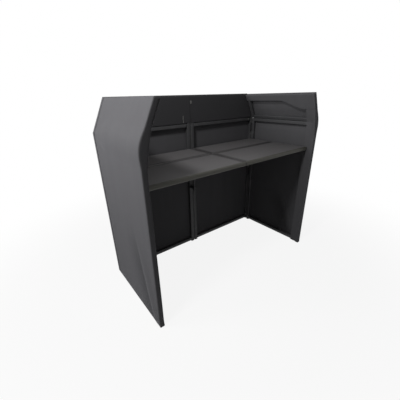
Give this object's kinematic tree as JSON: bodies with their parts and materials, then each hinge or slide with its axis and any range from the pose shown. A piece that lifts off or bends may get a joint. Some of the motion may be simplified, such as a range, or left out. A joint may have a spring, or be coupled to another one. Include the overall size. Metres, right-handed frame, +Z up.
{
  "type": "dj booth",
  "caption": "Folding performer's booth of hinged tube panels with black stretch covers, leaning wing flaps and a table of lift-out boards carried inside.",
  "frame": {"origin": "on the floor, at the middle of the footprint", "axes": "+Z up, +X to the right of someone behind the booth facing its audience, +Y towards the audience"},
  "size_m": [1.32, 0.6148, 1.15],
  "materials": {
    "frame": "satin black powder coat",
    "cover": "black stretch knit with a soft sheen",
    "board": "dark grey satin laminate",
    "edging": "olive grey edging strip",
    "hinge": "blackened steel",
    "rubber": "black rubber"
  },
  "bodies": {
    "front_left": {"centre_hinge_left_plates": "hinge", "centre_hinge_pins": "hinge", "front_left_back_ledger": "frame", "front_left_centre_post": "frame", "front_left_cover": "cover", "front_left_feet": "rubber", "front_left_outer_post": "frame", "front_left_rails": "frame", "front_left_slanted_post": "frame", "front_left_top_rail": "frame", "gate_lugs": "frame", "wing_left_hinge_front_plates": "hinge", "wing_left_hinge_pins": "hinge"},
    "front_right": {"centre_hinge_right_plates": "hinge", "front_right_back_ledger": "frame", "front_right_centre_post": "frame", "front_right_cover": "cover", "front_right_feet": "rubber", "front_right_outer_post": "frame", "front_right_rails": "frame", "front_right_slanted_post": "frame", "front_right_top_rail": "frame", "wing_right_hinge_front_plates": "hinge", "wing_right_hinge_pins": "hinge"},
    "left_wing": {"flap_left_hinge_lower_plates": "hinge", "flap_left_hinge_pins": "hinge", "wing_left_cover": "cover", "wing_left_feet": "rubber", "wing_left_hinge_wing_plates": "hinge", "wing_left_ledger": "frame", "wing_left_posts": "frame", "wing_left_rails": "frame"},
    "right_wing": {"flap_right_hinge_lower_plates": "hinge", "flap_right_hinge_pins": "hinge", "wing_right_cover": "cover", "wing_right_feet": "rubber", "wing_right_hinge_wing_plates": "hinge", "wing_right_ledger": "frame", "wing_right_posts": "frame", "wing_right_rails": "frame"},
    "left_flap": {"flap_left_cover": "cover", "flap_left_hinge_upper_plates": "hinge", "flap_left_rails": "frame", "flap_left_struts": "frame"},
    "right_flap": {"flap_right_cover": "cover", "flap_right_hinge_upper_plates": "hinge", "flap_right_rails": "frame", "flap_right_struts": "frame"},
    "left_back_board": {"table_left_back_board": "board"},
    "left_rear_board": {"table_left_edging": "edging", "table_left_rear_board": "board"},
    "right_back_board": {"table_right_back_board": "board"},
    "right_rear_board": {"table_right_edging": "edging", "table_right_rear_board": "board"},
    "gate": {"gate_arm": "frame", "gate_brace": "frame", "gate_pad": "rubber", "gate_upright": "frame"}
  },
  "joints": [
    {"name": "front_fold", "type": "hinge", "parent": "front_left", "child": "front_right", "pos_m": [0, 0.3034, 0.575], "axis": [0, 0, 1], "range_deg": [0, 180]},
    {"name": "left_wing_swing", "type": "hinge", "parent": "front_left", "child": "left_wing", "pos_m": [-0.6545, 0.2704, 0.48], "axis": [0, 0, -1], "range_deg": [0, 90]},
    {"name": "right_wing_swing", "type": "hinge", "parent": "front_right", "child": "right_wing", "pos_m": [0.6545, 0.2704, 0.48], "axis": [0, 0, 1], "range_deg": [0, 90]},
    {"name": "left_flap_fold", "type": "hinge", "parent": "left_wing", "child": "left_flap", "pos_m": [-0.6545, 0, 0.965], "axis": [0, -1, 0], "range_deg": [0, 25]},
    {"name": "right_flap_fold", "type": "hinge", "parent": "right_wing", "child": "right_flap", "pos_m": [0.6545, 0, 0.965], "axis": [0, 1, 0], "range_deg": [0, 25]},
    {"name": "left_back_board_lift", "type": "slide", "parent": "front_left", "child": "left_back_board", "axis": [0, 0, 1], "range_m": [0, 0.15]},
    {"name": "left_rear_board_lift", "type": "slide", "parent": "front_left", "child": "left_rear_board", "axis": [0, 0, 1], "range_m": [0, 0.15]},
    {"name": "right_back_board_lift", "type": "slide", "parent": "front_right", "child": "right_back_board", "axis": [0, 0, 1], "range_m": [0, 0.15]},
    {"name": "right_rear_board_lift", "type": "slide", "parent": "front_right", "child": "right_rear_board", "axis": [0, 0, 1], "range_m": [0, 0.15]},
    {"name": "gate_fold", "type": "hinge", "parent": "front_left", "child": "gate", "pos_m": [-0.017, 0.2314, 0.6], "axis": [0, 0, -1], "range_deg": [0, 90]}
  ]
}
